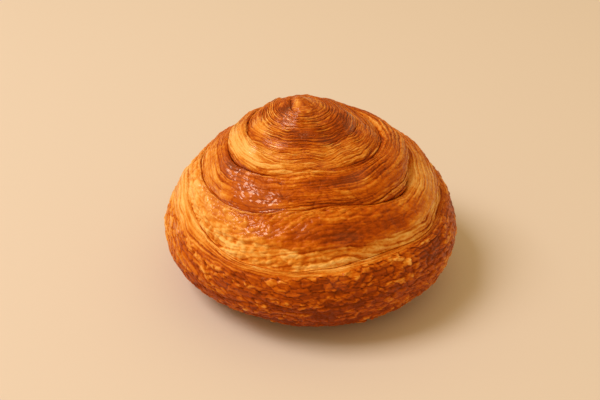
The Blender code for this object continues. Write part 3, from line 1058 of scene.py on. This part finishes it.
def add_node(tree, kind, settings=(), **inputs):
    """A node with its settings made and its inputs set or linked."""
    node = tree.nodes.new(kind)
    for name, value in dict(settings).items():
        setattr(node, name, value)
    set_inputs(tree, node, inputs)
    return node


def maths(tree, operation, *numbers):
    """The result of one sum on numbers."""
    node = add_node(tree, "ShaderNodeMath", {"operation": operation})
    set_inputs(tree, node, dict(enumerate(numbers)))
    return node.outputs[0]


def noise_texture(tree, place, scale, detail):
    """The value of Blender's noise at a place."""
    inputs = {"Vector": place, "Scale": scale, "Detail": detail, "Roughness": NOISE_ROUGHNESS}
    return add_node(tree, "ShaderNodeTexNoise", **inputs).outputs["Fac"]


def strand_noise(tree, strand, scale, detail):
    """Noise drawn out along the strip of dough."""
    place = add_node(tree, "ShaderNodeMapping", Vector=strand, Scale=scale).outputs["Vector"]
    return noise_texture(tree, place, 1.0, detail)


def crust_color(tree, shade):
    """The colour of crust as brown as its shade, from 0 to 1."""
    ramp = add_node(tree, "ShaderNodeValToRGB", Fac=shade)
    stops = ramp.color_ramp.elements
    while len(stops) < len(CRUST_RAMP):
        stops.new(0.5)
    for stop, (place, color) in zip(stops, CRUST_RAMP):
        stop.position = place
        stop.color = (*color, 1.0)
    return ramp.outputs["Color"]


def crust_material():
    """Baked laminated dough with egg wash, from pale gold to dark red-brown."""
    material = bpy.data.materials.new("baked_crust")
    material.use_nodes = True
    tree = material.node_tree
    brown, gloss, strands = (
        add_node(tree, "ShaderNodeAttribute", {"attribute_name": look}).outputs["Fac"]
        for look in LOOKS
    )
    place = add_node(tree, "ShaderNodeTexCoord").outputs["Object"]
    strand = add_node(tree, "ShaderNodeUVMap", {"uv_map": "Strand"}).outputs["UV"]
    streaks = strand_noise(tree, strand, STREAK_SCALE, detail=4.0)
    bands = strand_noise(tree, strand, LINE_SCALE, detail=3.0)
    off_line = maths(tree, "ABSOLUTE", maths(tree, "SUBTRACT", bands, 0.5))
    lines = maths(tree, "MULTIPLY_ADD", off_line, -LINE_SHARPNESS, 1.0)
    lines = maths(tree, "MAXIMUM", lines, 0.0)
    specks = noise_texture(tree, place, SPECK_SCALE, detail=3.0)

    fine = maths(tree, "MULTIPLY_ADD", streaks, STREAK_SHADE, STREAK_SHIFT)
    # The thin lines darken the crust as painted shade in their grooves.
    fine = maths(tree, "MULTIPLY_ADD", lines, THIN_LINE_PAINTED_SHADE, fine)
    shade = maths(tree, "MULTIPLY_ADD", fine, strands, brown)
    shade = maths(tree, "MULTIPLY_ADD", specks, SPECK_SHADE, shade)
    shade = maths(tree, "SUBTRACT", shade, 0.5 * SPECK_SHADE)

    roughness = maths(tree, "MULTIPLY_ADD", gloss, -GLOSS_SMOOTHS, DRY_ROUGHNESS)
    roughness = maths(tree, "MULTIPLY_ADD", specks, SPECK_ROUGHNESS, roughness)
    coat = maths(tree, "MULTIPLY_ADD", gloss, COAT_OF_GLOSS, -COAT_STARTS)
    coat = maths(tree, "MAXIMUM", coat, 0.0)

    height = maths(tree, "MULTIPLY_ADD", lines, -LINE_DEPTH, streaks)
    height = maths(tree, "MULTIPLY", height, strands)
    height = maths(tree, "MULTIPLY_ADD", specks, SPECK_HEIGHT, height)
    strength = maths(tree, "MULTIPLY_ADD", coat, -COAT_HIDES_BUMP, BUMP_STRENGTH)
    bump = {"Height": height, "Strength": strength, "Distance": BUMP_HEIGHT}
    normal = add_node(tree, "ShaderNodeBump", **bump).outputs["Normal"]
    look = {"Base Color": crust_color(tree, shade), "Roughness": roughness, "Coat Weight": coat}
    set_inputs(tree, tree.nodes["Principled BSDF"], look | {"Normal": normal} | CRUST_LOOK)
    return material


# --- the floor, light and camera


def add_floor():
    """A wide floor, pale and matt, at the height of the foot."""
    material = bpy.data.materials.new("pale_floor")
    material.use_nodes = True
    tree = material.node_tree
    set_inputs(tree, tree.nodes["Principled BSDF"], FLOOR_LOOK)
    bpy.ops.mesh.primitive_plane_add(size=FLOOR_SIZE)
    floor = bpy.context.object
    floor.name = "floor"
    floor.data.materials.append(material)


def add_key_light():
    """A square soft light that shines at the bun from its direction."""
    light = bpy.data.lights.new("key", "AREA")
    light.size = KEY_SIZE
    light.energy = KEY_POWER
    light.color = KEY_COLOR
    lamp = bpy.data.objects.new("key", light)
    lamp.location = KEY_DIRECTION.normalized() * KEY_DISTANCE
    lamp.rotation_euler = (-KEY_DIRECTION).to_track_quat("-Z", "Y").to_euler()
    bpy.context.scene.collection.objects.link(lamp)


def add_world_light():
    """An even warm light from all round."""
    world = bpy.data.worlds.new("studio")
    world.use_nodes = True
    set_inputs(world.node_tree, world.node_tree.nodes["Background"], WORLD_LIGHT)
    bpy.context.scene.world = world


def add_camera():
    """The photograph's view of the bun."""
    tilt = math.radians(CAMERA_ELEVATION)
    data = bpy.data.cameras.new("camera")
    data.lens = LENS_MM
    camera = bpy.data.objects.new("camera", data)
    camera.location = LOOK_AT + CAMERA_DISTANCE * Vector((0.0, -math.cos(tilt), math.sin(tilt)))
    camera.rotation_euler = (math.radians(90.0) - tilt, 0.0, 0.0)
    bpy.context.scene.collection.objects.link(camera)
    bpy.context.scene.camera = camera


def build():
    """Makes the whole scene, hides the imported bun and hangs each crust piece on the root body."""
    bpy.context.scene.view_settings.view_transform = "Standard"
    add_camera()
    add_key_light()
    add_world_light()
    add_floor()
    coil = Coil()
    pieces = [coil.band(*band) for band in BANDS] + [coil.foot()]
    material = crust_material()
    for piece in pieces:
        piece.data.materials.append(material)
        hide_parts(NODE)
        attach(piece, "root")


build()
